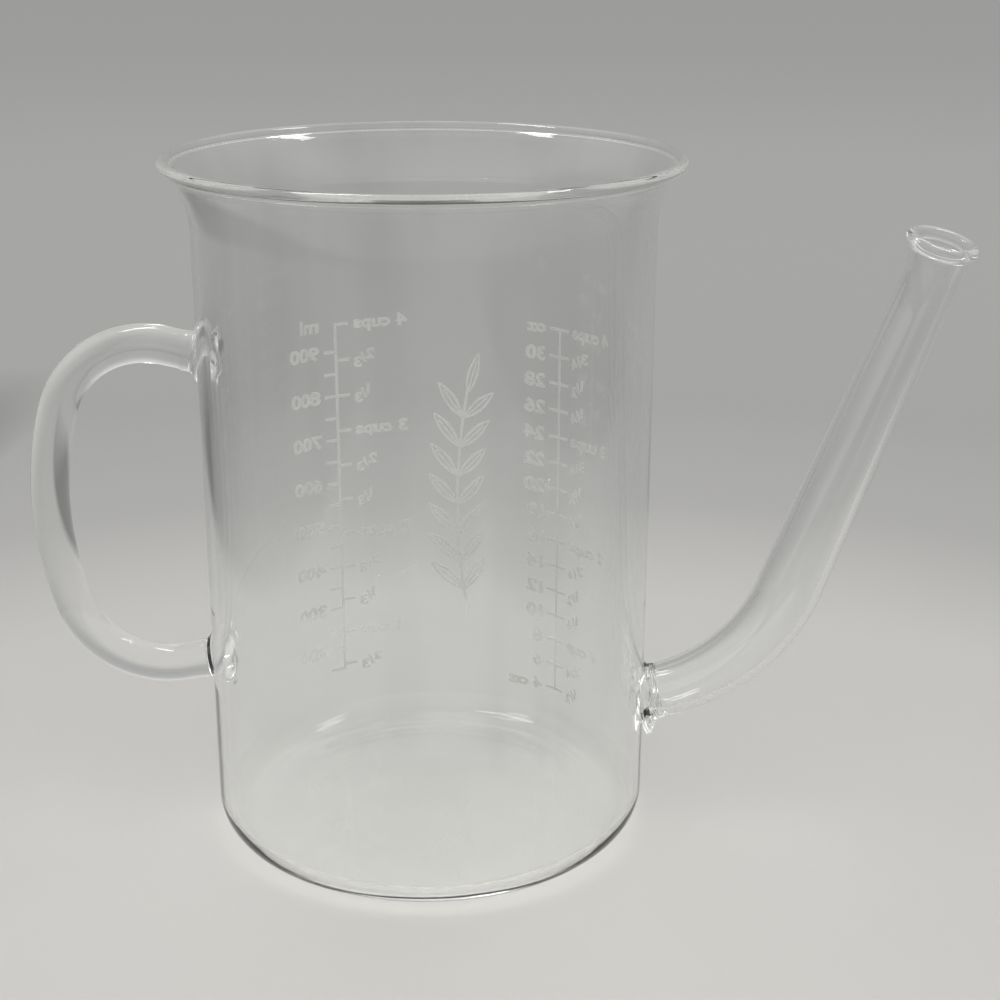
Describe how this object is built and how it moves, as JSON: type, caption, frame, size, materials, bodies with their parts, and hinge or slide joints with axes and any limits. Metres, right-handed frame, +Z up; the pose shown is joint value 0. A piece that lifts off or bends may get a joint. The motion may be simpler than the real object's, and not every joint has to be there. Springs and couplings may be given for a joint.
{
  "type": "gravy fat separator",
  "caption": "Clear glass beaker with a flared rim, a bent rod handle and a slim pouring spout that leaves just above the floor, printed with volume graduations.",
  "frame": {"origin": "middle of the flat base, on the surface that it stands on", "axes": "+Z up, +X towards the spout, -X towards the handle, +Y towards the printed back wall"},
  "size_m": [0.224, 0.1204, 0.166],
  "materials": {
    "clear_glass": "clear, fire-polished",
    "white_enamel": "white enamel, satin"
  },
  "bodies": {
    "root": {"vessel": "clear_glass", "handle_rod": "clear_glass", "handle_upper_seal": "clear_glass", "handle_lower_seal": "clear_glass", "spout_tube": "clear_glass", "spout_root_seal": "clear_glass", "ml_scale_print": "white_enamel", "ounce_scale_print": "white_enamel", "sprig_print": "white_enamel"}
  },
  "joints": []
}
